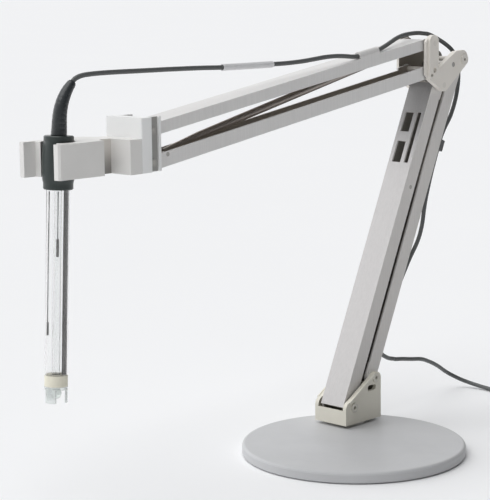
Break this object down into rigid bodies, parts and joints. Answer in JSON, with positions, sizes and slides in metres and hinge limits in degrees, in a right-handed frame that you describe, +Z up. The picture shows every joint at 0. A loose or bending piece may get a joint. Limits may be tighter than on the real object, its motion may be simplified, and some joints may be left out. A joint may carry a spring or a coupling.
{
  "type": "ph meter electrode arm",
  "caption": "Jointed electrode arm on a round weighted base, with an open clip that holds a glass pH electrode and its lead.",
  "frame": {"origin": "where the arm's swivel axis meets the table, on the underside of the base pad", "axes": "+Z up; the arm folds in the XZ plane and reaches towards -X, with the electrode hanging at the -X end"},
  "size_m": [0.4024, 0.1306, 0.2407],
  "materials": {
    "base_steel": "satin, pale grey",
    "pad_rubber": "matt",
    "pin_steel": "bright",
    "washer_nylon": "semi-matt",
    "bracket_metal": "satin, warm grey",
    "arm_metal": "satin, anodised",
    "spring_steel": "dull",
    "elbow_metal": "satin, warm grey",
    "head_plastic": "semi-matt, off-white",
    "holder_plastic": "semi-matt, light grey",
    "cap_plastic": "semi-matt, dark grey",
    "shaft_glass": "clear",
    "inner_glass": "clear",
    "wire_silver": "tarnished",
    "junction_ceramic": "porous, cream",
    "bulb_glass": "clear",
    "guard_plastic": "translucent",
    "clip_plastic": "matt",
    "sleeve_plastic": "matt, grey",
    "lead_plastic": "semi-matt",
    "plug_metal": "nickel-plated"
  },
  "bodies": {
    "base": {"base_disc": "base_steel", "base_pad": "pad_rubber", "swivel_stud": "pin_steel", "swivel_washer": "washer_nylon", "lead_tail_b": "lead_plastic", "lead_coil": "lead_plastic", "lead_out": "lead_plastic", "plug_boot": "clip_plastic", "plug_body": "plug_metal", "plug_ring": "plug_metal"},
    "bracket": {"foot_bracket": "bracket_metal", "foot_pins": "pin_steel", "foot_washers": "washer_nylon", "lead_tail_a": "lead_plastic"},
    "front_bar": {"front_channel": "arm_metal", "lower_spring_post": "pin_steel", "lower_spring": "spring_steel"},
    "rear_bar": {"rear_channel": "arm_metal", "rear_clips": "clip_plastic", "lead_run": "lead_plastic"},
    "elbow": {"elbow_plate_near": "elbow_metal", "elbow_plate_far": "elbow_metal", "elbow_pins": "pin_steel", "elbow_washers": "washer_nylon", "elbow_spacer": "pin_steel", "lead_elbow_b": "lead_plastic"},
    "top_bar": {"top_channel": "arm_metal", "arm_clip": "arm_metal", "lead_sleeve": "sleeve_plastic", "lead_span": "lead_plastic", "lead_elbow_a": "lead_plastic"},
    "bottom_bar": {"bottom_channel": "arm_metal", "upper_spring_post": "pin_steel", "upper_spring": "spring_steel"},
    "head": {"head_block": "head_plastic", "head_pins": "pin_steel", "head_washers": "washer_nylon", "holder_screws": "pin_steel", "electrode_holder": "holder_plastic", "electrode_cap": "cap_plastic", "cap_boot": "cap_plastic", "glass_shaft": "shaft_glass", "inner_tube": "inner_glass", "reference_wire": "wire_silver", "junction_ring": "junction_ceramic", "bulb_guard": "guard_plastic", "glass_bulb": "bulb_glass"}
  },
  "joints": [
    {"name": "base_swivel", "type": "hinge", "parent": "base", "child": "bracket", "pos_m": [0, 0, 0], "axis": [0, 0, 1], "range_deg": [-60, 60], "deforming": ["lead_tail_b"]},
    {"name": "lower_tilt", "type": "hinge", "parent": "bracket", "child": "rear_bar", "pos_m": [0.012, 0, 0.0335], "axis": [0, 1, 0], "range_deg": [-40, 0], "deforming": ["lead_tail_a"]},
    {"name": "front_pivot", "type": "hinge", "parent": "bracket", "child": "front_bar", "pos_m": [-0.008, 0, 0.0185], "axis": [0, 1, 0], "range_deg": [-40, 0], "deforming": ["lower_spring"]},
    {"name": "elbow_pivot", "type": "hinge", "parent": "rear_bar", "child": "elbow", "pos_m": [0.09685, 0, 0.22231], "axis": [0, 1, 0], "range_deg": [0, 40], "deforming": ["lead_elbow_b"]},
    {"name": "upper_tilt", "type": "hinge", "parent": "elbow", "child": "top_bar", "pos_m": [0.06735, 0, 0.23331], "axis": [0, 1, 0], "range_deg": [-12, 30], "deforming": ["lead_elbow_a"]},
    {"name": "bottom_pivot", "type": "hinge", "parent": "elbow", "child": "bottom_bar", "pos_m": [0.06735, 0, 0.21701], "axis": [0, 1, 0], "range_deg": [-12, 30], "deforming": ["upper_spring"]},
    {"name": "head_pivot", "type": "hinge", "parent": "top_bar", "child": "head", "pos_m": [-0.16772, 0, 0.19608], "axis": [0, 1, 0], "range_deg": [-30, 12], "deforming": ["lead_span"]}
  ],
  "couplings": [
    {"joint": "front_pivot", "follows": "lower_tilt", "ratio": 1},
    {"joint": "elbow_pivot", "follows": "lower_tilt", "ratio": -1},
    {"joint": "bottom_pivot", "follows": "upper_tilt", "ratio": 1},
    {"joint": "head_pivot", "follows": "upper_tilt", "ratio": -1}
  ]
}
